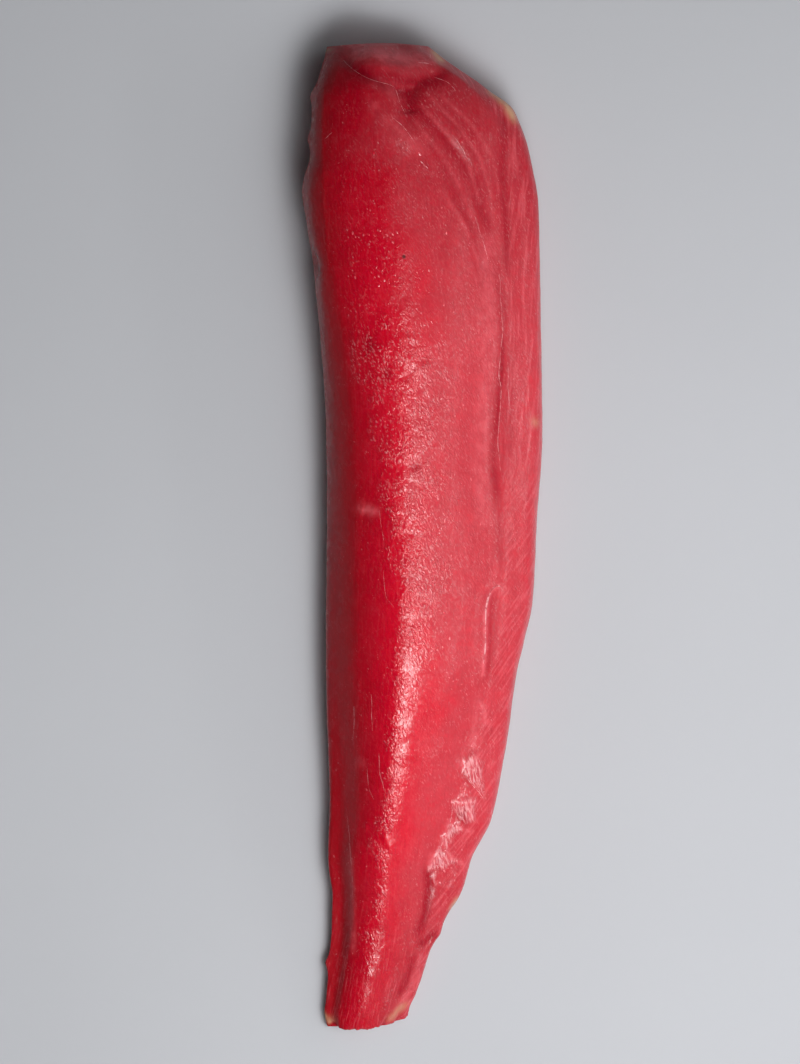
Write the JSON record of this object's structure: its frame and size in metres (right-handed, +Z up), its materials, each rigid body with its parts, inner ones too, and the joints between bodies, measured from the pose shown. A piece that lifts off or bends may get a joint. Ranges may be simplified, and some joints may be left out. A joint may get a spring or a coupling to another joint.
{
  "type": "raw tuna loin",
  "caption": "Long tapered raw tuna loin, skinned, with a lengthwise seam, a thin side flap, a blunt folded end and a torn thin end. Food that lies on a flat surface.",
  "frame": {"origin": "on the ground, under the middle of the loin's box", "axes": "+Y from the thin tail end to the blunt head end, +X to the side with the flap, +Z up"},
  "size_m": [0.1366, 0.56, 0.067],
  "materials": {
    "red_flesh": "wet and glossy raw flesh"
  },
  "bodies": {
    "root": {"tuna_loin": "red_flesh"}
  },
  "joints": []
}
